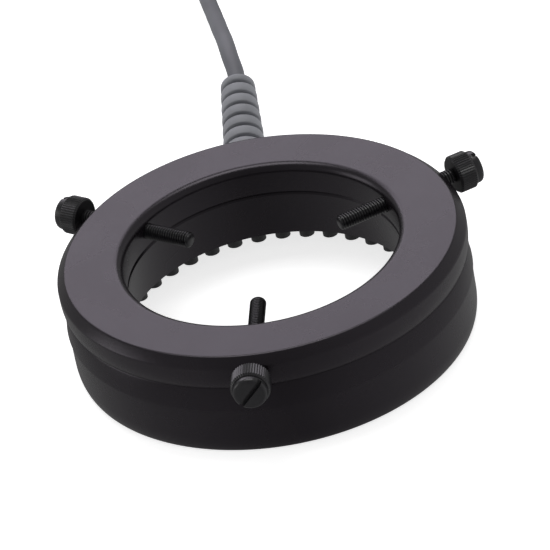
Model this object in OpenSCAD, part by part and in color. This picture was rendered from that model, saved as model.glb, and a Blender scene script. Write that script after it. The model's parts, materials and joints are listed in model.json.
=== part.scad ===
// LED ring light for a stereo microscope.
// The origin is on the ring's axis in the plane of the three clamping thumbscrews.
// +Z points up to the microscope, and the cord leaves towards +Y.

/* [Ring body] */
// Outside diameter of the clamp ring
ring_d = 100; // [96:1:110]
// Height from the resting rim to the top face
body_h = 26.7; // [26.2:0.1:30]
// Diameter of the bore that takes the microscope's nose
bore_d = 67.4; // [66:0.1:68]
// Depth of the thumbscrew axes under the top face
screw_drop = 4.1; // [3.6:0.1:4.6]
// Depth of the joint between clamp ring and lamp housing under the top face
split_depth = 8.1; // [7.6:0.1:8.6]
// Radius of the rounded top edges, outside and at the bore
edge_r = 2.2; // [1:0.1:2.5]
// How far the waist at the joint is drawn in
waist = 0.6; // [0.2:0.1:1]

/* [Lamp housing] */
// Inside diameter of the outer wall
cavity_d = 94.2; // [93:0.1:96]
// Thickness of the roof
roof_t = 2.2; // [1.8:0.1:3]
// Depth of the long rounding at the outer bottom edge
foot_round_h = 4.4; // [3:0.1:5]
// Radial width of that rounding
foot_round_w = 1.4; // [0.8:0.1:1.8]

/* [LED carrier] */
// LEDs in each of the two rows
led_count = 40; // [40:1:40]
// Diameter of an LED
led_d = 2.9; // [2.5:0.1:3]
// Radius of the inner row of LEDs
inner_row_r = 39.05; // [39:0.05:39.2]
// Radius of the outer row of LEDs
outer_row_r = 42.4; // [42.2:0.1:42.6]
// Outside radius of the tube that holds each LED
tube_r = 1.9; // [1.8:0.05:2]
// How far the tubes' ends are recessed above the resting rim
tube_recess = 3; // [2.6:0.1:3.4]
// How far the tubes stand out under the carrier's plate
tube_drop = 2.6; // [2:0.1:3]

/* [Thumbscrews] */
// Direction of the front thumbscrew
first_screw_angle = -99; // [-110:1:-80]
// Thread diameter
screw_d = 4; // [3:0.5:4]
// Distance of each screw's tip from the axis as it stands
tip_r = [19.9, 21.2, 21]; // [17:0.1:33]
// Length of thread from the tip to the knob
shank_l = 31.8; // [31.5:0.1:33]
// Diameter over the knurl
knob_d = 9.6; // [8:0.1:11]
// Length of the knurled part
knob_l = 4.8; // [4:0.1:7]
// Diameter of the slotted boss on the knob's end
boss_d = 8.2; // [6:0.1:8.4]
// Length of the boss
boss_l = 2; // [1.5:0.1:3]
// Direction of the screwdriver slot on each knob
slot_angle = [138, 15, 10]; // [0:1:180]

/* [Cord] */
// Diameter of the cord
cord_d = 4.4; // [4.2:0.1:4.5]
// Length of the strain relief outside the wall
relief_l = 38.7; // [38:0.1:42]
// Diameter of the strain relief at the wall
relief_d1 = 12; // [10:0.1:12]
// Diameter of the strain relief at its free end
relief_d2 = 8.8; // [8:0.1:9.4]
// How far the strain relief bends up
relief_tilt = 14; // [0:1:16]
// How far the strain relief bends sideways
relief_yaw = -3.5; // [-6:0.5:6]
// Distance between the strain relief's grooves
groove_pitch = 4.07; // [3.9:0.01:4.1]

/* [Plug] */
// Diameter of the plug's moulded grip
plug_d = 9.6; // [8:0.1:11]
// Length of the grip
plug_l = 20; // [16:1:26]
// Outside diameter of the plug's metal sleeve
sleeve_d = 5.5; // [5.5:0.1:5.5]
// Inside diameter of the plug's centre contact
contact_d = 2.1; // [2.1:0.1:2.5]

/* [Hidden] */

// Heights
top_z = screw_drop;
floor_z = screw_drop - body_h;
split_z = screw_drop - split_depth;
roof_z = split_z - roof_t;
tube_low_z = floor_z + tube_recess;
plate_low_z = tube_low_z + tube_drop;
plate_h = 3;
carrier_top_z = plate_low_z + plate_h;
board_gap = 1.4;
board_t = 1.6;
board_low_z = carrier_top_z + board_gap;
board_top_z = board_low_z + board_t;

// Radii
out_r = ring_d / 2;
bore_r = bore_d / 2;
cavity_r = cavity_d / 2;
wall_out_r = out_r - 0.45;
bead_r = out_r - 0.14;
waist_steps = [[1.2, 0.1], [2.6, 0.4]];
joint_groove = 0.5;
bead_drop = [5.9, 6.2, 6.5];
flare_r = 35.9;
inner_wall_t = 1.1;
plate_in_r = flare_r + inner_wall_t + 0.05;
plate_out_r = cavity_r - 0.2;
board_in_r = 37.4;
board_out_r = 46.6;
overshoot = 1;
fine = 96;
smooth = 48;
slack = 0.02;

// Fasteners inside
post_r = 45.2;
post_first = 18;
post_count = 4;
post_screw_r = 0.8;
post_hole_r = 0.85;
post_head_r = 1.4;
post_head_h = 0.9;
post_reach = 1.2;
post_spare = 0.2;
post_recess = [1.8, 0.4, 0.5];
spacer_r = 1.3;
ring_screw_r = 1.5;
ring_screw_circle_r = 41.5;
ring_screw_first = -57.5;
ring_screw_reach = 5;
ring_head_r = 2.75;
ring_head_h = 1.8;
ring_recess = [3.2, 0.8, 1.1];
ring_screw_clearance = 0.15;
ring_screw_spare = 0.4;

// LEDs and resistors
led_r = led_d / 2;
led_hole_r = led_r + 0.05;
led_body_l = 5.6;
led_inset = 0.2;
led_lead_r = 0.25;
led_lead_l = 3.4;
led_lead_gap = 2;
led_lead_clearance = 0.1;
led_step = 360 / led_count;
resistor = [1.6, 3.2, 0.6];
resistor_r = 43.6;
resistor_count = 20;
resistor_first = 9;

// Strain relief
relief_seat_y = out_r - 0.9;
relief_z = -12.2;
relief_neck_r = 3;
relief_neck_clearance = 0.06;
relief_foot_r = relief_d1 / 2 + 0.6;
relief_foot_clearance = 0.2;
relief_foot_l = 1.5;
relief_flange_r = 4.4;
relief_flange_t = 1.2;
relief_flange_y = 45.6;
relief_flange_clearance = 0.5;
groove_w = 1;
groove_depth = 1.2;
end_collar_l = 2.4;
end_round_r = 1.4;
groove_count = 8;
relief_tip = [0, relief_seat_y, relief_z] + relief_l * [
  -sin(relief_yaw) * cos(relief_tilt), cos(relief_yaw) * cos(relief_tilt), sin(relief_tilt)];

// Leads from the strain relief to the circuit board
lead_r = 0.65;
lead_route = [[0.8, 45.6, -12.2], [0.8, 45, -12.2], [0.8, 44.2, -11.9], [0.9, 43.6, -11],
  [1.1, 43.2, -9.6], [1.6, 42.9, -8.4], [2.4, 42.3, -7.9], [3.6, 41.5, -7.9], [4.6, 40.7, -8.5],
  [4.9, 40.4, -9.3], [4.9, 40.4, -10]];
board_notch = [3.8, 41.6];
solder_at = [4.9, 40.4];
solder_r = [0.9, 0.65];
solder_h = 1;

// Thumbscrews
screw_r = screw_d / 2;
screw_clearance = 0.05;
tip_chamfer = 0.5;
knurl_count = 48;
knurl_depth = 0.22;
slot_w = 1.1;
slot_depth = 1.4;

// Cord: the route to the coil, the coil, and the tail to the plug, 1.27 m in all
cord_r = cord_d / 2;
cord_sides = 10;
run_route = [[2.4, 89.5, -2.2], [2.3, 92.4, -1.5], [1.8, 97.5, -0.8], [1.5, 103, -0.8],
  [1.2, 109, -1.8], [0.8, 115, -3.2], [0.5, 121, -5], [0.3, 127, -6.9], [0, 133, -8.9],
  [-0.2, 139, -10.9], [-0.5, 145, -12.8], [-0.8, 151, -14.6], [-1.1, 157, -16.2],
  [-1.4, 163, -17.6], [-1.6, 169, -18.7], [-1.8, 176, -19.4], [-1.9, 184, -19.6],
  [-1.9, 193, -19.6]];
coil_centre = [29.7, 199];
coil_r = 25;
coil_turns_across = 4;
coil_layers = 2;
coil_lift = 0.8;
coil_half_w = coil_turns_across * cord_r;
coil_h = coil_layers * cord_d;
tail_route = [[-1.9, 196, -15.2], [-2.2, 205.7, -15.3], [-1.7, 212.8, -15.9], [0.5, 220, -17.2],
  [4.6, 226.5, -18.8], [10.4, 231.9, -19.9], [17, 235.8, -20], [22.5, 237.7, -19.2],
  [27, 238.3, -18.2], [30.5, 238.5, -17.8]];
plug_start = [30.5, 238.5, -17.8];
plug_relief_l = 9;
plug_relief_r = [2.6, 3];
plug_edge = 1;
sleeve_l = 9.5;
sleeve_wall = 0.35;
contact_wall = 0.3;
contact_recess = 0.6;
insulator_l = 1;
tie_t = 0.8;
tie_gap = 0.3;
tie_w = 8;
tie_half_w = coil_half_w + tie_gap;
tie_h = coil_lift + coil_h + tie_gap;
tie_angle = -60;

// ---- shared shapes ----

// Points of an arc about a centre, from one angle to another
function arc(centre, r, from, to, steps) =
  [for (i = [0 : steps]) let (a = from + (to - from) * i / steps) centre + r * [cos(a), sin(a)]];

function unit(v) = v / norm(v);

// Direction of a route at one of its points
function heading(route, i) = unit(route[min(i + 1, len(route) - 1)] - route[max(i - 1, 0)]);

// Ring of points square to the route at one of its points
function ring_at(route, i, r, sides) =
  let (d = heading(route, i), side = unit(cross(d, [1, 1, 1])), up = cross(side, d))
  [for (k = [0 : sides - 1]) route[i] + r * (cos(360 * k / sides) * side + sin(360 * k / sides) * up)];

// Solid tube along a route
module tube(route, r, sides) {
  n = len(route);
  points = [for (i = [0 : n - 1]) each ring_at(route, i, r, sides)];
  walls = [for (i = [0 : n - 2], k = [0 : sides - 1])
    let (j = (k + 1) % sides, low = i * sides, high = low + sides)
    each [[low + k, low + j, high + j], [low + k, high + j, high + k]]];
  first_cap = [for (k = [sides - 1 : -1 : 0]) k];
  last_cap = [for (k = [0 : sides - 1]) (n - 1) * sides + k];
  polyhedron(points, concat([first_cap], walls, [last_cap]), convexity = 6);
}

// Repeats its children round the axis
module around(count, first = 0) {
  for (i = [0 : count - 1]) rotate([0, 0, first + i * 360 / count]) children();
}

// Lays its children, drawn along +Z from the axis outwards, along one thumbscrew's axis
module along_screw(i) {
  rotate([0, 0, first_screw_angle + i * 120]) rotate([0, 90, 0]) children();
}

// ---- ring body ----

module clamp_ring_profile() {
  polygon(concat(
    [[bore_r + joint_groove, split_z], [bore_r, split_z + joint_groove]],
    arc([bore_r + edge_r, top_z - edge_r], edge_r, 180, 90, 10),
    arc([out_r - edge_r, top_z - edge_r], edge_r, 90, 0, 10),
    [[out_r, 0]], [for (s = waist_steps) [out_r - waist * s[1], -s[0]]], [[out_r - waist, split_z]]));
}

module clamp_ring() {
  color("#6b6670")
  difference() {
    rotate_extrude($fn = fine) clamp_ring_profile();
    for (i = [0 : 2]) along_screw(i)
      translate([0, 0, bore_r - screw_d])
        cylinder(r = screw_r, h = out_r - bore_r + 2 * screw_d, $fn = smooth);
    around(3, ring_screw_first) translate([ring_screw_circle_r, 0, split_z - overshoot])
      cylinder(r = ring_screw_r, h = ring_screw_reach + ring_screw_spare + overshoot, $fn = smooth);
  }
}

module lamp_housing_profile() {
  polygon(concat(
    [[bore_r + joint_groove, split_z], [out_r - waist, split_z], [bead_r, split_z - bead_drop[0]],
      [bead_r, split_z - bead_drop[1]], [wall_out_r, split_z - bead_drop[2]]],
    [for (a = [0 : 15 : 90])
      [wall_out_r - foot_round_w * (1 - cos(a)), floor_z + foot_round_h * (1 - sin(a))]],
    [[cavity_r, floor_z], [cavity_r, roof_z], [bore_r + joint_groove + inner_wall_t, roof_z],
      [flare_r + inner_wall_t, plate_low_z], [flare_r, plate_low_z], [bore_r, split_z - joint_groove]]));
}

module lamp_housing() {
  color("#2b2a2e")
  difference() {
    rotate_extrude($fn = fine) lamp_housing_profile();
    around(3, ring_screw_first) translate([ring_screw_circle_r, 0, roof_z - overshoot])
      cylinder(r = ring_screw_r + ring_screw_clearance, h = roof_t + 2 * overshoot, $fn = smooth);
    around(post_count, post_first) translate([post_r, 0, roof_z - overshoot])
      cylinder(r = post_screw_r, h = post_reach + post_spare + overshoot, $fn = smooth);
    translate([0, cavity_r - relief_neck_r, relief_z]) rotate([-90, 0, 0])
      cylinder(r = relief_neck_r, h = 2 * relief_neck_r, $fn = smooth);
    translate([0, relief_seat_y, relief_z]) rotate([-90, 0, 0])
      cylinder(r = relief_foot_r + relief_foot_clearance, h = relief_foot_l, $fn = smooth);
  }
}

// ---- LED carrier and circuit board ----

// Places its children on one row of LEDs
module on_row(row_r, first) {
  around(led_count, first) translate([row_r, 0, 0]) children();
}

// Places its children on both rows
module on_both_rows() {
  on_row(inner_row_r, 0) children();
  on_row(outer_row_r, led_step / 2) children();
}

// Room for the strain relief's flange
module flange_clearance() {
  half = relief_flange_r + relief_flange_clearance;
  translate([-half, relief_flange_y - relief_flange_clearance, floor_z]) cube([2 * half, 2 * half, body_h]);
}

module led_carrier() {
  color("#26262a")
  difference() {
    union() {
      translate([0, 0, plate_low_z]) linear_extrude(plate_h) difference() {
        circle(r = plate_out_r, $fn = fine);
        circle(r = plate_in_r, $fn = fine);
      }
      on_both_rows() translate([0, 0, tube_low_z])
        cylinder(r = tube_r, h = tube_drop + plate_h / 2, $fn = 24);
    }
    on_both_rows() translate([0, 0, floor_z]) cylinder(r = led_hole_r, h = body_h, $fn = 24);
    around(post_count, post_first) translate([post_r, 0, plate_low_z]) {
      translate([0, 0, -overshoot]) cylinder(r = post_hole_r, h = plate_h + 2 * overshoot, $fn = smooth);
      cylinder(r1 = post_head_r + slack, r2 = post_hole_r, h = post_head_h, $fn = smooth);
    }
    flange_clearance();
  }
}

module circuit_board() {
  color("#1f6b3a")
  difference() {
    translate([0, 0, board_low_z]) linear_extrude(board_t) difference() {
      circle(r = board_out_r, $fn = fine);
      circle(r = board_in_r, $fn = fine);
    }
    around(post_count, post_first) translate([post_r, 0, board_low_z - overshoot])
      cylinder(r = post_hole_r, h = board_t + 2 * overshoot, $fn = smooth);
    translate([-board_notch[0] / 2, board_notch[1], board_low_z - overshoot])
      cube([board_notch[0], board_out_r - board_notch[1], board_t + 2 * overshoot]);
    on_both_rows() at_led_leads() translate([0, 0, floor_z])
      cylinder(r = led_lead_r + led_lead_clearance, h = body_h, $fn = 16);
    flange_clearance();
  }
}

// Places its children at the two leads of an LED
module at_led_leads() {
  for (side = [-1, 1]) translate([0, side * led_lead_gap / 2, 0]) children();
}

// One LED with its dome down
module led() {
  translate([0, 0, tube_low_z + led_inset]) {
    rotate_extrude($fn = 24) polygon(concat([[0, 0]], arc([0, led_r], led_r, -90, 0, 6),
      [[led_r, led_body_l], [0, led_body_l]]));
    at_led_leads() translate([0, 0, led_body_l]) cylinder(r = led_lead_r, h = led_lead_l, $fn = 16);
  }
}

module inner_leds() {
  color("#e8f0ff") on_row(inner_row_r, 0) led();
}

module outer_leds() {
  color("#e8f0ff") on_row(outer_row_r, led_step / 2) led();
}

module resistors() {
  color("#3a3a3a")
  around(resistor_count, resistor_first) translate([resistor_r, 0, board_top_z + resistor[2] / 2])
    cube([resistor[0], resistor[1], resistor[2]], center = true);
}

// ---- fasteners inside ----

module spacer(low_z, high_z) {
  around(post_count, post_first) translate([post_r, 0, low_z]) linear_extrude(high_z - low_z) difference() {
    circle(r = spacer_r, $fn = smooth);
    circle(r = post_hole_r, $fn = smooth);
  }
}

module upper_spacers() {
  color("#b9bcc0") spacer(board_top_z, roof_z);
}

module lower_spacers() {
  color("#b9bcc0") spacer(carrier_top_z, board_low_z);
}

module carrier_screws() {
  color("#9a9ca0")
  around(post_count, post_first) translate([post_r, 0, plate_low_z]) difference() {
    union() {
      cylinder(r1 = post_head_r, r2 = post_screw_r - slack, h = post_head_h, $fn = smooth);
      cylinder(r = post_screw_r - slack, h = roof_z + post_reach - plate_low_z, $fn = smooth);
    }
    cross_recess(post_recess);
  }
}

// Cross recess cut upwards from z = 0, its size given as length, width and depth
module cross_recess(size) {
  for (a = [0, 90]) rotate([0, 0, a]) translate([-size[0] / 2, -size[1] / 2, -overshoot])
    cube([size[0], size[1], size[2] + overshoot]);
}

module ring_screws() {
  color("#9a9ca0")
  around(3, ring_screw_first) translate([ring_screw_circle_r, 0, roof_z - ring_head_h]) difference() {
    union() {
      cylinder(r = ring_head_r, h = ring_head_h, $fn = smooth);
      cylinder(r = ring_screw_r - slack, h = ring_head_h + roof_t + ring_screw_reach, $fn = smooth);
    }
    cross_recess(ring_recess);
  }
}

// ---- strain relief and leads ----

function relief_r(y) = (relief_d1 + (relief_d2 - relief_d1) * y / relief_l) / 2;

module relief_boot_profile() {
  polygon(concat(
    [[0, 0], [relief_r(0), 0]],
    [for (i = [groove_count - 1 : -1 : 0])
      let (y = relief_l - end_collar_l - i * groove_pitch, r = relief_r(y))
      each [[r, y - groove_w], [r - groove_depth, y - groove_w], [r - groove_depth, y], [r - slack, y]]],
    arc([relief_r(relief_l) - end_round_r, relief_l - end_round_r], end_round_r, 0, 90, 5),
    [[0, relief_l]]));
}

module strain_relief() {
  color("#77777d") {
    translate([0, relief_seat_y, relief_z]) rotate([0, 0, relief_yaw]) rotate([relief_tilt - 90, 0, 0])
      intersection() {
        rotate_extrude($fn = smooth) relief_boot_profile();
        rotate([-relief_tilt, 0, 0]) translate([-relief_l, -relief_l, relief_foot_l / 4])
          cube(2 * relief_l);
      }
    translate([0, relief_flange_y, relief_z]) rotate([-90, 0, 0]) {
      cylinder(r = relief_flange_r, h = relief_flange_t, $fn = smooth);
      cylinder(r = relief_neck_r - relief_neck_clearance, h = relief_seat_y - relief_flange_y + slack,
        $fn = smooth);
    }
    translate([0, relief_seat_y, relief_z]) rotate([-90, 0, 0])
      cylinder(r = relief_foot_r, h = relief_foot_l, $fn = smooth);
  }
}

function mirrored(route) = [for (p = route) [-p[0], p[1], p[2]]];

module red_lead() {
  color("#b3242a") tube(lead_route, lead_r, 8);
}

module black_lead() {
  color("#222224") tube(mirrored(lead_route), lead_r, 8);
}

module lead_solder() {
  color("#c8c8c8")
  for (side = [-1, 1]) translate([side * solder_at[0], solder_at[1], board_top_z])
    cylinder(r1 = solder_r[0], r2 = solder_r[1], h = solder_h, $fn = 24);
}

// ---- thumbscrews ----

module screw_shank(i) {
  color("#2e2e32")
  along_screw(i) translate([0, 0, tip_r[i]]) rotate_extrude($fn = smooth)
    polygon([[0, 0], [screw_r - tip_chamfer, 0], [screw_r - screw_clearance, tip_chamfer],
      [screw_r - screw_clearance, shank_l - slack], [0, shank_l - slack]]);
}

module knurled_outline() {
  difference() {
    circle(d = knob_d, $fn = fine);
    around(knurl_count) translate([knob_d / 2, 0]) rotate([0, 0, 45])
      square(knurl_depth * sqrt(2), center = true);
  }
}

module screw_knob(i) {
  color("#232327")
  along_screw(i) translate([0, 0, tip_r[i] + shank_l]) difference() {
    union() {
      linear_extrude(knob_l) knurled_outline();
      cylinder(d = boss_d, h = knob_l + boss_l, $fn = smooth);
    }
    translate([0, 0, knob_l + boss_l - slot_depth]) rotate([0, 0, slot_angle[i]])
      translate([-boss_d, -slot_w / 2, 0]) cube([2 * boss_d, slot_w, slot_depth + overshoot]);
  }
}

module front_screw_shank() { screw_shank(0); }
module front_screw_knob() { screw_knob(0); }
module right_screw_shank() { screw_shank(1); }
module right_screw_knob() { screw_knob(1); }
module left_screw_shank() { screw_shank(2); }
module left_screw_knob() { screw_knob(2); }

// ---- cord, coil and plug ----

module cord_run() {
  color("#8a8a8e") tube(concat([relief_tip], run_route), cord_r, cord_sides);
}

module cord_tail() {
  color("#8a8a8e") tube(tail_route, cord_r, cord_sides);
}

module cord_coil() {
  color("#8a8a8e")
  translate([coil_centre[0], coil_centre[1], floor_z + coil_lift]) rotate_extrude($fn = fine)
    translate([coil_r - coil_half_w, 0]) square([2 * coil_half_w, coil_h]);
}

module coil_tie() {
  color("#1c1c1e")
  translate([coil_centre[0], coil_centre[1], floor_z]) rotate([0, 0, tie_angle])
    translate([coil_r, tie_w / 2, 0]) rotate([90, 0, 0]) linear_extrude(tie_w) difference() {
      translate([-tie_half_w - tie_t, 0]) square([2 * (tie_half_w + tie_t), tie_h + tie_t]);
      translate([-tie_half_w, tie_t]) square([2 * tie_half_w, tie_h - tie_t]);
    }
}

// Lays its children, drawn along +Z, along the plug's axis
module along_plug() {
  translate(plug_start) rotate([0, 90, 0]) children();
}

module plug_grip() {
  end = plug_relief_l + plug_l;
  color("#1d1d20")
  along_plug() rotate_extrude($fn = smooth) polygon([[0, 0], [plug_relief_r[0], 0],
    [plug_relief_r[1], plug_relief_l - plug_edge], [plug_d / 2 - plug_edge, plug_relief_l],
    [plug_d / 2, plug_relief_l + plug_edge], [plug_d / 2, end - plug_edge], [plug_d / 2 - plug_edge, end],
    [0, end]]);
}

module plug_sleeve() {
  color("#c9ccd0")
  along_plug() translate([0, 0, plug_relief_l + plug_l]) linear_extrude(sleeve_l) difference() {
    circle(d = sleeve_d, $fn = smooth);
    circle(d = sleeve_d - 2 * sleeve_wall, $fn = smooth);
  }
}

module plug_insulator() {
  color("#101012")
  along_plug() translate([0, 0, plug_relief_l + plug_l]) linear_extrude(sleeve_l - insulator_l) difference() {
    circle(d = sleeve_d - 2 * sleeve_wall - 2 * slack, $fn = smooth);
    circle(d = contact_d + 2 * contact_wall + 2 * slack, $fn = smooth);
  }
}

module plug_contact() {
  color("#c9a85a")
  along_plug() translate([0, 0, plug_relief_l + plug_l])
    linear_extrude(sleeve_l - contact_recess) difference() {
      circle(d = contact_d + 2 * contact_wall, $fn = smooth);
      circle(d = contact_d, $fn = smooth);
    }
}

clamp_ring();
lamp_housing();
led_carrier();
circuit_board();
inner_leds();
outer_leds();
resistors();
upper_spacers();
lower_spacers();
carrier_screws();
ring_screws();
strain_relief();
red_lead();
black_lead();
lead_solder();
front_screw_shank();
front_screw_knob();
right_screw_shank();
right_screw_knob();
left_screw_shank();
left_screw_knob();
cord_run();
cord_coil();
cord_tail();
coil_tie();
plug_grip();
plug_sleeve();
plug_insulator();
plug_contact();
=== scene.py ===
"""Looks of the LED ring light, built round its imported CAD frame.

Named sizes, outlines and routes are millimetres in the CAD frame. Lights and the camera's distance are metres.
"""

import json
import math

import bmesh
import bpy
from mathutils import Matrix, Vector

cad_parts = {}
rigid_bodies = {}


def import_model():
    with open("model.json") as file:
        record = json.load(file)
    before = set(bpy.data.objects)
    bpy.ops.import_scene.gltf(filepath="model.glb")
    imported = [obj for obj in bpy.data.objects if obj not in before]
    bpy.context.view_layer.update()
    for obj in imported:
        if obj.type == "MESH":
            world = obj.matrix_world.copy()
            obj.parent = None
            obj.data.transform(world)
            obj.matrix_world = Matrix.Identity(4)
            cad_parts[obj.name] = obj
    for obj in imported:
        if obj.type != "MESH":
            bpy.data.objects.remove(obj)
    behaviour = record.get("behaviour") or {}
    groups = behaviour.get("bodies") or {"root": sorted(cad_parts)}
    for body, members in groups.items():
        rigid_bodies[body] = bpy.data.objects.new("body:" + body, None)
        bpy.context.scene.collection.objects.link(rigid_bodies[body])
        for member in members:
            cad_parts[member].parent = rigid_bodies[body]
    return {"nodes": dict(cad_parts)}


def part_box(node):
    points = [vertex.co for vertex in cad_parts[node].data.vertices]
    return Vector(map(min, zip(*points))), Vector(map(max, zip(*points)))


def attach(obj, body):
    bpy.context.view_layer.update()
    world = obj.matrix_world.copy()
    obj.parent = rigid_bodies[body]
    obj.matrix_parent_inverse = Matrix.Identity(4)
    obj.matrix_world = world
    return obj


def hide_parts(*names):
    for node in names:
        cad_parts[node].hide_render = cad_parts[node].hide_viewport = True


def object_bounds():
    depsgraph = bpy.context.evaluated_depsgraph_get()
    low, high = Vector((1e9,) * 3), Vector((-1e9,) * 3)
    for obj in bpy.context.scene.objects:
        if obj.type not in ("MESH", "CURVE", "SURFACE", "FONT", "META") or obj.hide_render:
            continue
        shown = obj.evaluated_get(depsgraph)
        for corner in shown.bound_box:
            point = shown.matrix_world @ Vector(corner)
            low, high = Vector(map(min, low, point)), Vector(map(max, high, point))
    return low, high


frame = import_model()
CAD_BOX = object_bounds()

MM = 0.001

# Ring body. Its Z is 0 in the plane of the thumbscrews.
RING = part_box("clamp_ring")
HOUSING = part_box("lamp_housing")
OUT_R = RING[1].x / MM
TOP_Z = RING[1].z / MM
SPLIT_Z = RING[0].z / MM
FLOOR_Z = HOUSING[0].z / MM
RING_SIDES = 256
BORE_R = 33.7
EDGE_R = 2.2
WAIST = 0.6
JOINT_GROOVE = 0.5
JOINT_EDGE_W = 0.2
JOINT_EDGE_H = 0.25
WALL_INSET = 0.45
BEAD_INSET = 0.14
BEAD_EDGE = 0.1
# How far under the joint the bead begins, is full, starts to end and meets the wall
BEAD_DEPTHS = (5.6, 5.85, 6.2, 6.5)
FOOT_ROUND_W = 1.4
FOOT_ROUND_H = 4.4
CAVITY_R = 47.1
ROOF_T = 2.2
INNER_WALL_T = 1.1
FLARE_R = 35.9
FLARE_Z = -17.0

# Thumbscrews
SCREW_NAMES = ("front_screw", "right_screw", "left_screw")
FIRST_SCREW_ANGLE = -99
TIP_R = (19.9, 21.2, 21.0)
SHANK_L = 31.8
SCREW_R = 2.0
PITCH = 0.7
THREAD_CREST_R = 1.95
THREAD_ROOT_R = 1.6
TIP_CHAMFER = 0.15
KNOB_R = 4.8
KNOB_L = 4.8
KNOB_CHAMFER = 0.5
KNURL_COUNT = 48
KNURL_DEPTH = 0.2
BOSS_R = 4.1
BOSS_L = 2.0
BOSS_EDGE_R = 0.95
SLOT_ANGLES = (138, 15, 10)
SLOT_W = 1.1
SLOT_DEPTH = 1.4

# Strain relief: a ribbed boot that leans from its seat on the wall, and a foot in a hole of the wall
RELIEF_SEAT = Vector((0, 49.1, -12.2))
RELIEF_TILT = 14
RELIEF_YAW = -3.5
RELIEF_L = 38.7
RELIEF_R = (6.0, 4.4)
RELIEF_EDGE_R = 0.8
BOOT_START = 0.4
BOOT_START_EDGE = 0.2
FIRST_RIB = 0.5
RIB_EDGE = 0.35
RIB_BELLY = 0.08
GROOVE_PITCH = 4.07
GROOVE_COUNT = 8
GROOVE_W = 1.0
GROOVE_DEPTH = 1.2
END_COLLAR_L = 2.4
RELIEF_FOOT_R = 6.6
RELIEF_FOOT_T = 1.5
RELIEF_FOOT_EDGE_R = 0.4
RELIEF_FOOT_GAP = 0.2
NECK_R = 2.9
NECK_HOLE_R = 3.0
FLANGE_R = 4.4
FLANGE_Z = (-3.5, -2.3)

# Cord: the run to the coil, the coil and the tail to the plug
CORD_R = 2.2
RUN_ROUTE = [(2.4, 89.5, -2.2), (2.3, 92.4, -1.5), (1.8, 97.5, -0.8), (1.5, 103, -0.8),
             (1.2, 109, -1.8), (0.8, 115, -3.2), (0.5, 121, -5), (0.3, 127, -6.9), (0, 133, -8.9),
             (-0.2, 139, -10.9), (-0.5, 145, -12.8), (-0.8, 151, -14.6), (-1.1, 157, -16.2),
             (-1.4, 163, -17.6), (-1.6, 169, -18.7), (-1.8, 176, -19.4), (-1.9, 184, -19.6),
             (-1.9, 193, -19.6)]
COIL_CENTRE = (29.7, 199)
COIL_R = 25
COIL_LOW_Z = -19.6
LOW_TURNS = 4
HIGH_TURNS = 3
# Degrees of a turn over which the cord shifts to the next lane, and of the whole coil over which it climbs
SHIFT_IN = (200, 270)
SHIFT_OUT = (50, 120)
CLIMB = (1210, 1270)
TAIL_ROUTE = [(-2.2, 205.7, -15.3), (-1.7, 212.8, -15.9), (0.5, 220, -17.2), (4.6, 226.5, -18.8),
              (10.4, 231.9, -19.9), (17, 235.8, -20), (22.5, 237.7, -19.2), (27, 238.3, -18.2),
              (30.5, 238.5, -17.8)]


# ---- camera ----

def make_camera(elevation, roll, distance, lens, aim):
    """A long lens looking along +Y and down, turned about its own line of sight."""
    el = math.radians(elevation)
    back = Vector((0, -math.cos(el), math.sin(el)))
    right0 = Vector((1, 0, 0))
    up0 = back.cross(right0)
    turn = math.radians(roll)
    right = right0 * math.cos(turn) - up0 * math.sin(turn)
    up = right0 * math.sin(turn) + up0 * math.cos(turn)
    place = Vector((0, 0, TOP_Z * MM)) + back * distance
    target = Vector((0, 0, TOP_Z * MM)) + (right * aim[0] + up * aim[1]) * MM
    sight = (place - target).normalized()
    side = up.cross(sight).normalized()
    rotation = Matrix((side, sight.cross(side), sight)).transposed()
    data = bpy.data.cameras.new("camera")
    data.lens = lens
    data.sensor_width = 36
    data.clip_start = 0.05
    data.clip_end = 20
    camera = bpy.data.objects.new("camera", data)
    camera.matrix_world = Matrix.Translation(place) @ rotation.to_4x4()
    bpy.context.collection.objects.link(camera)
    bpy.context.scene.camera = camera


make_camera(elevation=32.38, roll=11.24, distance=1.1962, lens=325.3, aim=(3.7, -8.0))


# ---- mesh helpers ----

def add_object(name, data):
    obj = bpy.data.objects.new(name, data)
    bpy.context.collection.objects.link(obj)
    return obj


def mesh_object(name, points, faces, sharp=35, at=Matrix.Identity(4)):
    """A mesh from points in millimetres, smooth except at edges sharper than that many degrees."""
    mesh = bpy.data.meshes.new(name)
    mesh.from_pydata([tuple((at @ Vector(p)) * MM) for p in points], [], faces)
    bm = bmesh.new()
    bm.from_mesh(mesh)
    bmesh.ops.recalc_face_normals(bm, faces=bm.faces)
    bm.to_mesh(mesh)
    bm.free()
    smooth(mesh, sharp)
    return add_object(name, mesh)


def smooth(mesh, sharp=35):
    """Smooth shading except at edges sharper than that many degrees."""
    mesh.polygons.foreach_set("use_smooth", [True] * len(mesh.polygons))
    mesh.set_sharp_from_angle(angle=math.radians(sharp))


def arc(cx, cy, r, start, end, steps):
    """Points on a circle from one angle to another, both ends included."""
    angles = [math.radians(start + (end - start) * i / steps) for i in range(steps + 1)]
    return [(cx + r * math.cos(a), cy + r * math.sin(a)) for a in angles]


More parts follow.
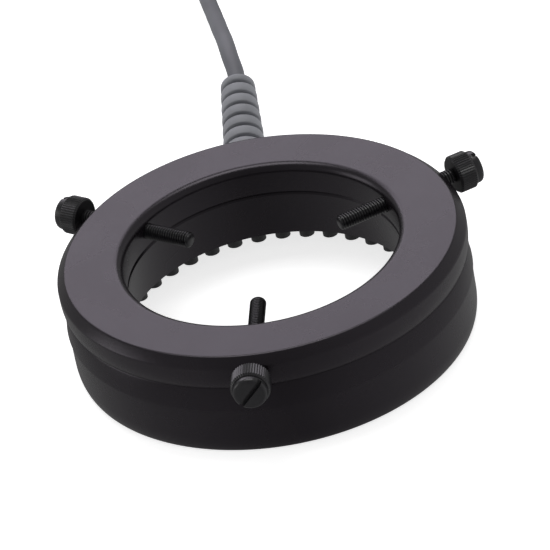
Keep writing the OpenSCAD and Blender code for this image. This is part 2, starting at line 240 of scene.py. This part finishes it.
def lathe(name, outline, sides=192, closed=True, at=Matrix.Identity(4), sharp=35, radius=None):
    """Turns an outline of (r, z) about Z.

    A closed outline is a ring's section, and an open one runs from axis to axis.
    radius(r, angle) may change the radius round the piece.
    """
    points, rows = [], []
    for r, z in outline:
        if r < 1e-6:
            rows.append([len(points)])
            points.append((0, 0, z))
            continue
        rows.append(list(range(len(points), len(points) + sides)))
        for k in range(sides):
            a = 2 * math.pi * k / sides
            q = radius(r, a) if radius else r
            points.append((q * math.cos(a), q * math.sin(a), z))
    pairs = list(zip(rows, rows[1:]))
    if closed:
        pairs.append((rows[-1], rows[0]))
    faces = []
    for low, high in pairs:
        for k in range(sides):
            j = (k + 1) % sides
            corners = [low[k % len(low)], low[j % len(low)], high[j % len(high)], high[k % len(high)]]
            face = list(dict.fromkeys(corners))
            if len(face) > 2:
                faces.append(face)
    return mesh_object(name, points, faces, sharp, at)


def cut(obj, *cutters, sharp=35):
    """Takes the cutters out of obj and removes them."""
    for cutter in cutters:
        change = obj.modifiers.new("cut", "BOOLEAN")
        change.operation = "DIFFERENCE"
        change.solver = "EXACT"
        change.object = cutter
    shape = obj.evaluated_get(bpy.context.evaluated_depsgraph_get())
    mesh = bpy.data.meshes.new_from_object(shape)
    obj.modifiers.clear()
    obj.data = mesh
    smooth(mesh, sharp)
    for cutter in cutters:
        bpy.data.objects.remove(cutter)


def smooth_route(points, per_leg=6):
    """Catmull-Rom points through a route."""
    route = [Vector(p) for p in points]
    ends = [2 * route[0] - route[1]] + route + [2 * route[-1] - route[-2]]
    out = []
    for a, b, c, d in zip(ends, ends[1:], ends[2:], ends[3:]):
        for i in range(per_leg):
            t = i / per_leg
            out.append(0.5 * (2 * b + (c - a) * t + (2 * a - 5 * b + 4 * c - d) * t * t
                              + (3 * b - a - 3 * c + d) * t ** 3))
    return out + [route[-1]]


# ---- cord ----

def eased(w, start, end):
    """Rises smoothly from 0 to 1 between two angles."""
    t = min(max((w - start) / (end - start), 0), 1)
    return t * t * (3 - 2 * t)


def coil_points():
    """Turns that wind inwards on the surface, then turns back outwards on top of them."""
    points = []
    turns = LOW_TURNS + HIGH_TURNS
    outer_lane = COIL_R + (LOW_TURNS - 1) * CORD_R
    for w in range(0, turns * 360 + 1, 6):
        inwards = sum(eased(w, 360 * k + SHIFT_IN[0], 360 * k + SHIFT_IN[1])
                      for k in range(LOW_TURNS - 1))
        outwards = sum(eased(w, 360 * k + SHIFT_OUT[0], 360 * k + SHIFT_OUT[1])
                       for k in range(LOW_TURNS, turns))
        r = outer_lane - 2 * CORD_R * (inwards - outwards)
        z = COIL_LOW_Z + 2 * CORD_R * eased(w, *CLIMB)
        a = math.radians(w)
        points.append(Vector((COIL_CENTRE[0] - r * math.cos(a), COIL_CENTRE[1] + r * math.sin(a), z)))
    return points


def seat_place():
    """Matrix that lays +Z straight out of the wall at the strain relief's seat, in millimetres."""
    return Matrix.Translation(RELIEF_SEAT) @ Matrix.Rotation(math.radians(-90), 4, "X")


def relief_place():
    """Matrix that lays +Z along the leaning boot from the same seat, in millimetres."""
    return (Matrix.Translation(RELIEF_SEAT) @ Matrix.Rotation(math.radians(RELIEF_YAW), 4, "Z")
            @ Matrix.Rotation(math.radians(RELIEF_TILT - 90), 4, "X"))


def make_cord():
    """The whole cord as one tube, from the tip of the strain relief to the plug."""
    tip = relief_place() @ Vector((0, 0, RELIEF_L))
    coil = coil_points()
    run = smooth_route([tip, *RUN_ROUTE, coil[0]])
    tail = smooth_route([coil[-1], *TAIL_ROUTE])
    route = run[:-1] + coil + tail[1:]
    data = bpy.data.curves.new("cord", "CURVE")
    data.dimensions = "3D"
    data.bevel_depth = CORD_R * MM
    data.bevel_resolution = 5
    data.use_fill_caps = True
    spline = data.splines.new("POLY")
    spline.points.add(len(route) - 1)
    for place, point in zip(spline.points, route):
        place.co = (*(point * MM), 1)
    tube = add_object("cord_curve", data)
    shape = tube.evaluated_get(bpy.context.evaluated_depsgraph_get())
    mesh = bpy.data.meshes.new_from_object(shape)
    bpy.data.objects.remove(tube)
    smooth(mesh)
    cord = add_object("cord", mesh)
    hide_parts("cord_run", "cord_coil", "cord_tail")
    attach(cord, "ring")
    return cord


cord = make_cord()


# ---- materials ----

def link(tree, a, b):
    tree.links.new(a, b)


def material(name, colour, roughness, vary=0.12, vary_scale=60, grain=0.0, grain_scale=4000,
             rough_vary=0.08, **sockets):
    """A procedural surface: colour and roughness that wander a little, and a fine grain in the bump.

    Scales are per metre of the object, and sockets are constants for the shader.
    """
    mat = bpy.data.materials.new(name)
    mat.use_nodes = True
    tree = mat.node_tree
    shader = tree.nodes["Principled BSDF"]
    place = tree.nodes.new("ShaderNodeTexCoord").outputs["Object"]
    wander = tree.nodes.new("ShaderNodeTexNoise")
    wander.inputs["Scale"].default_value = vary_scale
    wander.inputs["Detail"].default_value = 6
    link(tree, place, wander.inputs["Vector"])
    ramp = tree.nodes.new("ShaderNodeValToRGB")
    ramp.color_ramp.elements[0].position = 0.3
    ramp.color_ramp.elements[1].position = 0.7
    ramp.color_ramp.elements[0].color = (*[c * (1 - vary) for c in colour], 1)
    ramp.color_ramp.elements[1].color = (*[min(1, c * (1 + vary)) for c in colour], 1)
    link(tree, wander.outputs["Fac"], ramp.inputs["Fac"])
    link(tree, ramp.outputs["Color"], shader.inputs["Base Color"])
    spread = tree.nodes.new("ShaderNodeMapRange")
    spread.inputs["From Min"].default_value = 0.3
    spread.inputs["From Max"].default_value = 0.7
    spread.inputs["To Min"].default_value = roughness * (1 - rough_vary)
    spread.inputs["To Max"].default_value = roughness * (1 + rough_vary)
    link(tree, wander.outputs["Fac"], spread.inputs["Value"])
    link(tree, spread.outputs["Result"], shader.inputs["Roughness"])
    if grain:
        fine = tree.nodes.new("ShaderNodeTexNoise")
        fine.inputs["Scale"].default_value = grain_scale
        fine.inputs["Detail"].default_value = 3
        link(tree, place, fine.inputs["Vector"])
        bump = tree.nodes.new("ShaderNodeBump")
        bump.inputs["Strength"].default_value = grain
        bump.inputs["Distance"].default_value = 0.00005
        link(tree, fine.outputs["Fac"], bump.inputs["Height"])
        link(tree, bump.outputs["Normal"], shader.inputs["Normal"])
    for socket, value in sockets.items():
        shader.inputs[socket.replace("_", " ")].default_value = value
    return mat


def paint(obj, mat):
    """Gives a piece one material."""
    obj.data.materials.clear()
    obj.data.materials.append(mat)


def paint_node(node, mat):
    """Gives a CAD node its finish and leaves its shape alone."""
    obj = frame["nodes"][node]
    for part in [obj, *obj.children_recursive]:
        if part.type == "MESH":
            for place in part.material_slots:
                place.material = mat


ANODISED_TINT = (0.97, 0.89, 1.0, 1)
ring_finish = material("ring_anodising", (0.0065, 0.0052, 0.0066), 0.27, grain=0.3, grain_scale=9000,
                       Specular_IOR_Level=0.45, Specular_Tint=ANODISED_TINT)
housing_finish = material("housing_anodising", (0.006, 0.0048, 0.0062), 0.27, grain=0.3, grain_scale=9000,
                          Specular_IOR_Level=0.4, Specular_Tint=ANODISED_TINT)
blackened = material("blackened_steel", (0.011, 0.0105, 0.012), 0.3, grain=0.2, Specular_IOR_Level=0.5)
moulded_black = material("moulded_black", (0.016, 0.016, 0.017), 0.5, grain=0.35)
grey_rubber = material("grey_rubber", (0.26, 0.266, 0.288), 0.55, grain=0.4, grain_scale=2500)
grey_jacket = material("grey_jacket", (0.145, 0.148, 0.165), 0.5, grain=0.3, grain_scale=2500)
laminate = material("solder_mask", (0.02, 0.13, 0.05), 0.3)
clear_epoxy = material("clear_epoxy", (0.95, 0.97, 1.0), 0.06, vary=0.01, Transmission_Weight=0.85, IOR=1.5)
chip_black = material("chip_black", (0.03, 0.03, 0.03), 0.5)
turned_metal = material("turned_metal", (0.62, 0.63, 0.65), 0.3, grain=0.2, Metallic=1.0)
zinc = material("zinc_plate", (0.6, 0.61, 0.63), 0.28, grain=0.2, Metallic=1.0)
red_wire = material("red_wire", (0.45, 0.02, 0.02), 0.4)
black_wire = material("black_wire", (0.02, 0.02, 0.02), 0.4)
solder = material("solder", (0.7, 0.7, 0.72), 0.25, Metallic=1.0)
nickel = material("nickel_plate", (0.78, 0.78, 0.77), 0.16, Metallic=1.0)
brass = material("brass", (0.72, 0.55, 0.25), 0.25, Metallic=1.0)
strap_fabric = material("strap_fabric", (0.02, 0.02, 0.022), 0.9, grain=0.9, grain_scale=2500)

NODE_FINISH = {
    "clamp_ring": ring_finish, "lamp_housing": housing_finish, "led_carrier": moulded_black,
    "circuit_board": laminate, "inner_leds": clear_epoxy, "outer_leds": clear_epoxy,
    "resistors": chip_black, "upper_spacers": turned_metal, "lower_spacers": turned_metal,
    "carrier_screws": zinc, "ring_screws": zinc, "strain_relief": grey_rubber, "red_lead": red_wire,
    "black_lead": black_wire, "lead_solder": solder, "cord_run": grey_jacket, "cord_coil": grey_jacket,
    "cord_tail": grey_jacket, "coil_tie": strap_fabric, "plug_grip": moulded_black,
    "plug_sleeve": nickel, "plug_insulator": moulded_black, "plug_contact": brass,
    **{f"{n}_{part}": blackened for n in SCREW_NAMES for part in ("shank", "knob")},
}
for node_name, finish in NODE_FINISH.items():
    paint_node(node_name, finish)


# ---- ring body ----

def tube_cutter(at, r, low, high):
    """A plain cylinder for cutting a hole, from one height to the other."""
    return lathe("cutter", [(0, low), (r, low), (r, high), (0, high)], sides=64, closed=False, at=at)


def screw_place(i):
    """Matrix that lays +Z outwards along one thumbscrew, in millimetres."""
    return (Matrix.Rotation(math.radians(FIRST_SCREW_ANGLE + 120 * i), 4, "Z")
            @ Matrix.Rotation(math.radians(90), 4, "Y"))


def make_clamp_ring():
    """Upper half of the body: round edge at the bore, soft bevel at the wall and a waist at the joint."""
    waist_r = OUT_R - WAIST
    bevel_in, bevel_low = OUT_R - EDGE_R, TOP_Z - EDGE_R
    bevel = [(bevel_in - 0.3, TOP_Z), (bevel_in - 0.2, TOP_Z),
             (bevel_in + 0.1, TOP_Z - 0.08), (bevel_in + 0.3, TOP_Z - 0.25),
             (OUT_R - 0.3, bevel_low + 0.35), (OUT_R - 0.08, bevel_low + 0.05),
             (OUT_R, bevel_low - 0.25), (OUT_R, bevel_low - 0.35)]
    waist = [(OUT_R, 0), (OUT_R - WAIST * 0.1, -1.2), (OUT_R - WAIST * 0.4, -2.6),
             (waist_r, SPLIT_Z + JOINT_EDGE_H), (waist_r - JOINT_EDGE_W, SPLIT_Z)]
    outline = [(BORE_R + JOINT_GROOVE, SPLIT_Z), (BORE_R, SPLIT_Z + JOINT_GROOVE),
               *arc(BORE_R + EDGE_R, TOP_Z - EDGE_R, EDGE_R, 180, 90, 14),
               (BORE_R + EDGE_R + 0.1, TOP_Z), *bevel, *waist]
    ring = lathe("clamp_ring_body", outline, sides=RING_SIDES)
    cut(ring, *[tube_cutter(screw_place(i), SCREW_R, BORE_R - SCREW_R, OUT_R + SCREW_R) for i in range(3)])
    paint(ring, ring_finish)
    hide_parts("clamp_ring")
    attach(ring, "ring")


def make_lamp_housing():
    """Lower half of the body, open below: a bead under the joint and a long rounding at the foot."""
    waist_r = OUT_R - WAIST
    wall_r = OUT_R - WALL_INSET
    bead_r = OUT_R - BEAD_INSET
    roof_z = SPLIT_Z - ROOF_T
    bead_rs = (bead_r - BEAD_EDGE, bead_r, bead_r, wall_r)
    bead = [(r, SPLIT_Z - depth) for r, depth in zip(bead_rs, BEAD_DEPTHS)]
    foot = [(wall_r - FOOT_ROUND_W * (1 - math.cos(a)), FLOOR_Z + FOOT_ROUND_H * (1 - math.sin(a)))
            for a in map(math.radians, range(0, 91, 6))]
    inside = [(CAVITY_R, FLOOR_Z), (CAVITY_R, roof_z), (BORE_R + JOINT_GROOVE + INNER_WALL_T, roof_z),
              (FLARE_R + INNER_WALL_T, FLARE_Z), (FLARE_R, FLARE_Z), (BORE_R, SPLIT_Z - JOINT_GROOVE)]
    outline = [(BORE_R + JOINT_GROOVE, SPLIT_Z), (waist_r - JOINT_EDGE_W, SPLIT_Z),
               (waist_r, SPLIT_Z - JOINT_EDGE_H), *bead, *foot, *inside]
    housing = lathe("lamp_housing_body", outline, sides=RING_SIDES)
    cut(housing, tube_cutter(seat_place(), RELIEF_FOOT_R + RELIEF_FOOT_GAP, 0, 3),
        tube_cutter(seat_place(), NECK_HOLE_R, -4, 1))
    paint(housing, housing_finish)
    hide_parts("lamp_housing")
    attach(housing, "ring")


make_clamp_ring()
make_lamp_housing()


# ---- thumbscrews ----

def make_thread(name, at):
    """A right-hand M4 thread.

    Rows climb one pitch round the screw, so a row's last corner meets the first corner of the row one pitch up.
    """
    sides, steps = 40, 8
    step = PITCH / steps
    rows = int((SHANK_L + 2 * PITCH) / step) + 1
    flank = [0, 0, 0.5, 1, 1, 1, 0.5, 0]
    bm = bmesh.new()
    grid = []
    for j in range(rows + steps + 1):
        row = []
        for k in range(sides):
            raw = (j - steps) * step + PITCH * k / sides
            z = min(max(raw, 0), SHANK_L)
            r = THREAD_ROOT_R + (THREAD_CREST_R - THREAD_ROOT_R) * flank[j % steps]
            r = min(r, THREAD_ROOT_R - TIP_CHAMFER + z, THREAD_ROOT_R + SHANK_L - z)
            a = 2 * math.pi * k / sides
            row.append(bm.verts.new((at @ Vector((r * math.cos(a), r * math.sin(a), z))) * MM))
        grid.append(row)
    for j in range(rows):
        for k in range(sides):
            here, there = (grid[j], grid[j]), (grid[j + 1], grid[j + 1])
            if k == sides - 1:
                here, there = (grid[j], grid[j + steps]), (grid[j + 1], grid[j + steps + 1])
            n = (k + 1) % sides
            bm.faces.new((here[0][k], here[1][n], there[1][n], there[0][k]))
    bmesh.ops.remove_doubles(bm, verts=bm.verts, dist=1e-6)
    bmesh.ops.holes_fill(bm, edges=bm.edges, sides=0)
    bmesh.ops.recalc_face_normals(bm, faces=bm.faces)
    mesh = bpy.data.meshes.new(name)
    bm.to_mesh(mesh)
    bm.free()
    smooth(mesh, 50)
    return add_object(name, mesh)


def knurled(r, a):
    """Drops the knob's side into fine straight grooves."""
    if r < KNOB_R - 0.01:
        return r
    phase = KNURL_COUNT * a / (2 * math.pi) % 1
    return r - KNURL_DEPTH * abs(2 * phase - 1)


def make_knob(name, at, slot_angle):
    """A knurled knob with a plain round boss on its end and a slot across the boss."""
    end = KNOB_L + BOSS_L
    outline = [(0, 0), (KNOB_R - KNOB_CHAMFER, 0), (KNOB_R, KNOB_CHAMFER),
               (KNOB_R, KNOB_L - KNOB_CHAMFER), (KNOB_R - KNOB_CHAMFER - 0.05, KNOB_L), (BOSS_R, KNOB_L),
               *arc(BOSS_R - BOSS_EDGE_R, end - BOSS_EDGE_R, BOSS_EDGE_R, 0, 90, 8), (0, end)]
    knob = lathe(name, outline, sides=8 * KNURL_COUNT, closed=False, at=at, radius=knurled, sharp=28)
    half_l, half_w, low, high = 2 * KNOB_R, SLOT_W / 2, end - SLOT_DEPTH, end + SLOT_DEPTH
    box = [(x, y, z) for z in (low, high) for x, y in
           ((-half_l, -half_w), (half_l, -half_w), (half_l, half_w), (-half_l, half_w))]
    sides = [(0, 1, 2, 3), (4, 5, 6, 7), (0, 1, 5, 4), (1, 2, 6, 5), (2, 3, 7, 6), (3, 0, 4, 7)]
    cut(knob, mesh_object("cutter", box, sides,
                          at=at @ Matrix.Rotation(math.radians(slot_angle), 4, "Z")), sharp=28)
    return knob


def make_thumbscrew(i, screw):
    knob = make_knob(f"{screw}_head", screw_place(i) @ Matrix.Translation((0, 0, TIP_R[i] + SHANK_L)),
                     SLOT_ANGLES[i])
    thread = make_thread(f"{screw}_thread", screw_place(i) @ Matrix.Translation((0, 0, TIP_R[i])))
    for piece, node in ((knob, f"{screw}_knob"), (thread, f"{screw}_shank")):
        paint(piece, blackened)
        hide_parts(node)
        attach(piece, f"{screw}_knob")


for number, screw_name in enumerate(SCREW_NAMES):
    make_thumbscrew(number, screw_name)


# ---- strain relief ----

def relief_r(y):
    """Radius of the tapering boot at a distance from its seat."""
    return RELIEF_R[0] + (RELIEF_R[1] - RELIEF_R[0]) * y / RELIEF_L


def rounded_rib(start, end):
    """Outline of one rib of the boot, with soft edges and a slight belly."""
    corner = [(0, RIB_EDGE), (0.3, RIB_EDGE * 0.3), (1, 0)]
    middle = (start + end) / 2
    return [*[(relief_r(start) - drop, start + RIB_EDGE * t) for t, drop in corner],
            (relief_r(middle) + RIB_BELLY, middle),
            *[(relief_r(end) - drop, end - RIB_EDGE * t) for t, drop in reversed(corner)]]


def make_boot():
    """The ribbed boot, from the wall to the collar that the cord leaves."""
    outline = [(0, BOOT_START), (relief_r(0) - BOOT_START_EDGE, BOOT_START)]
    start = FIRST_RIB
    for i in range(GROOVE_COUNT, 0, -1):
        y = RELIEF_L - END_COLLAR_L - (i - 1) * GROOVE_PITCH
        bottom = relief_r(y) - GROOVE_DEPTH
        outline += rounded_rib(start, y - GROOVE_W)
        outline += [(bottom, y - GROOVE_W), (bottom, y)]
        start = y
    outline += [(relief_r(start) - RIB_EDGE, start), (relief_r(start), start + RIB_EDGE),
                *arc(RELIEF_R[1] - RELIEF_EDGE_R, RELIEF_L - RELIEF_EDGE_R, RELIEF_EDGE_R, 0, 90, 6),
                (0, RELIEF_L)]
    return lathe("strain_relief_boot", outline, sides=96, closed=False, at=relief_place(), sharp=50)


def make_foot():
    """The foot against the wall, its neck through the wall and the flange inside."""
    outline = [(0, FLANGE_Z[0]), (FLANGE_R, FLANGE_Z[0]), (FLANGE_R, FLANGE_Z[1]), (NECK_R, FLANGE_Z[1]),
               (NECK_R, 0), (RELIEF_FOOT_R, 0),
               *arc(RELIEF_FOOT_R - RELIEF_FOOT_EDGE_R, RELIEF_FOOT_T - RELIEF_FOOT_EDGE_R,
                    RELIEF_FOOT_EDGE_R, 0, 90, 5), (0, RELIEF_FOOT_T)]
    return lathe("strain_relief_foot", outline, sides=96, closed=False, at=seat_place())


def make_strain_relief():
    for piece in (make_boot(), make_foot()):
        paint(piece, grey_rubber)
        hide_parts("strain_relief")
        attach(piece, "ring")


make_strain_relief()
paint(cord, grey_jacket)


# ---- floor and light ----

def make_floor():
    """A pale floor a hair under the lowest point, which shiny surfaces don't mirror."""
    half = 3000
    gap = 0.02
    z = CAD_BOX[0].z / MM - gap
    corners = [(-half, -half, z), (half, -half, z), (half, half, z), (-half, half, z)]
    floor = mesh_object("floor", corners, [(0, 1, 2, 3)])
    paint(floor, material("pale_floor", (0.86, 0.86, 0.86), 0.8, vary=0.004, vary_scale=3,
                          Emission_Color=(1, 1, 1, 1), Emission_Strength=0.75))
    floor.visible_glossy = False


def soft_light(name, place, size, radiance, colour=(1, 1, 1)):
    """A rectangle of even light, size across and up, that faces the ring's centre."""
    data = bpy.data.lights.new(name, "AREA")
    data.shape = "RECTANGLE"
    data.size, data.size_y = size
    data.energy = radiance * math.pi * size[0] * size[1]
    data.color = colour
    lamp = add_object(name, data)
    lamp.location = place
    lamp.rotation_mode = "QUATERNION"
    lamp.rotation_quaternion = Vector(place).to_track_quat("Z", "Y")


def make_world():
    """White surroundings, darkest in front and behind and brightest on the right."""
    world = bpy.data.worlds.new("studio")
    world.use_nodes = True
    tree = world.node_tree
    direction = tree.nodes.new("ShaderNodeTexCoord").outputs["Generated"]
    split = tree.nodes.new("ShaderNodeSeparateXYZ")
    link(tree, direction, split.inputs["Vector"])
    across = tree.nodes.new("ShaderNodeMapRange")
    across.inputs["From Min"].default_value = -1
    link(tree, split.outputs["X"], across.inputs["Value"])
    ramp = tree.nodes.new("ShaderNodeValToRGB")
    ramp.color_ramp.elements.new(0.5)
    left, middle, right = 0.37, 0.18, 0.52
    for element, level in zip(ramp.color_ramp.elements, (left, middle, right)):
        element.color = (level, level, level, 1)
    link(tree, across.outputs["Result"], ramp.inputs["Fac"])
    link(tree, ramp.outputs["Color"], tree.nodes["Background"].inputs["Color"])
    bpy.context.scene.world = world
    bpy.context.scene.view_settings.view_transform = "Standard"


make_floor()
make_world()
soft_light("backdrop", place=(-0.3, 2.6, 1.6), size=(3.0, 1.3), radiance=2.0, colour=(0.96, 0.9, 1.0))
soft_light("overhead", place=(0, 0.5, 2.2), size=(1.6, 1.0), radiance=3.8)
soft_light("left_side", place=(-2.4, 0.2, 0.7), size=(1.2, 1.2), radiance=1.5)
